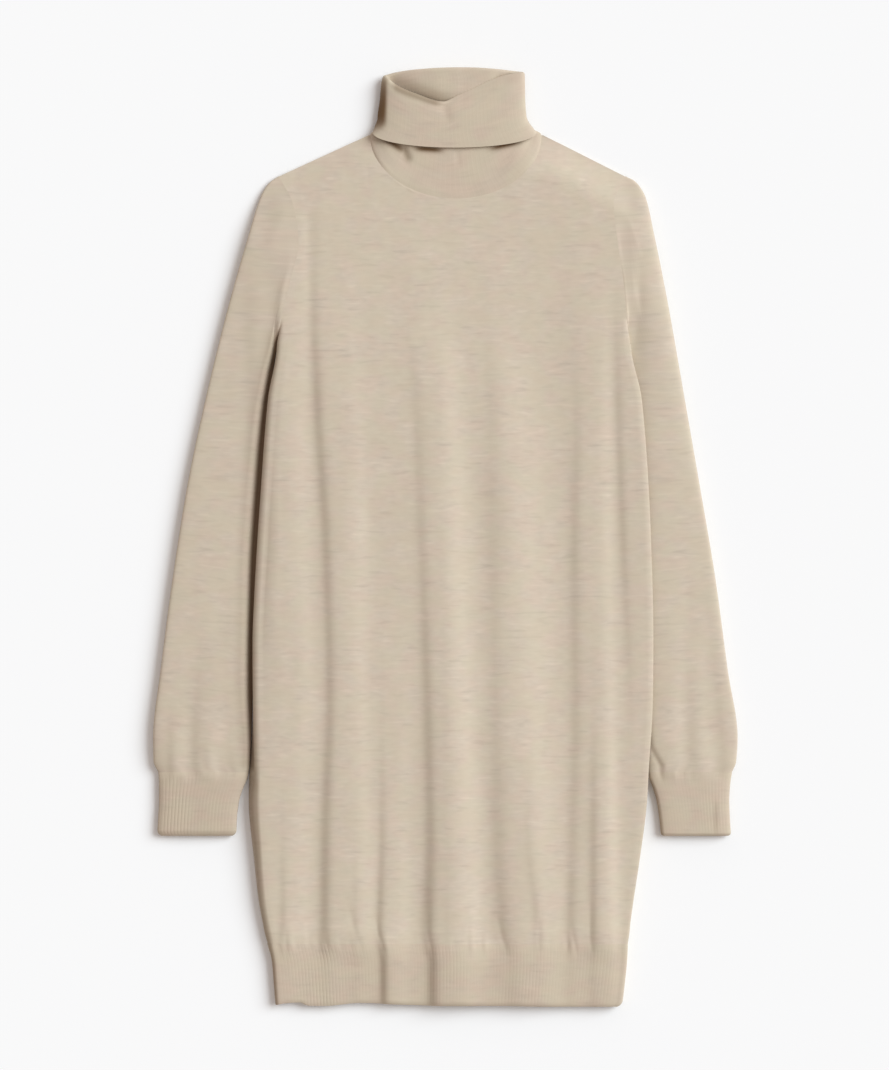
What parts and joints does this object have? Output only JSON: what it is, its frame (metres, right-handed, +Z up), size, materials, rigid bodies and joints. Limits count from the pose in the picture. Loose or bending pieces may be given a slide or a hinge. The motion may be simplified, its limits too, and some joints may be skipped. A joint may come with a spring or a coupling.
{
  "type": "sweater dress",
  "caption": "Long-sleeved knee-length knit dress with a folded roll neck, ribbed cuffs and a ribbed hem, lying flat, front up.",
  "frame": {"origin": "the middle of the dress's outline, on the surface that it lies on", "axes": "+X across the dress towards the right sleeve as seen from above, +Y along the dress towards the neck, +Z up from the surface"},
  "size_m": [0.584, 0.9375, 0.0206],
  "materials": {
    "jersey": "heathered oatmeal fine jersey, matt with a soft nap",
    "rib": "the same heathered yarn in a narrow rib, matt"
  },
  "bodies": {
    "root": {"front": "jersey", "back": "jersey", "sleeve_left": "jersey", "sleeve_right": "jersey", "hem_rib_front": "rib", "hem_rib_back": "rib", "cuff_left": "rib", "cuff_right": "rib", "collar": "rib"}
  },
  "joints": []
}
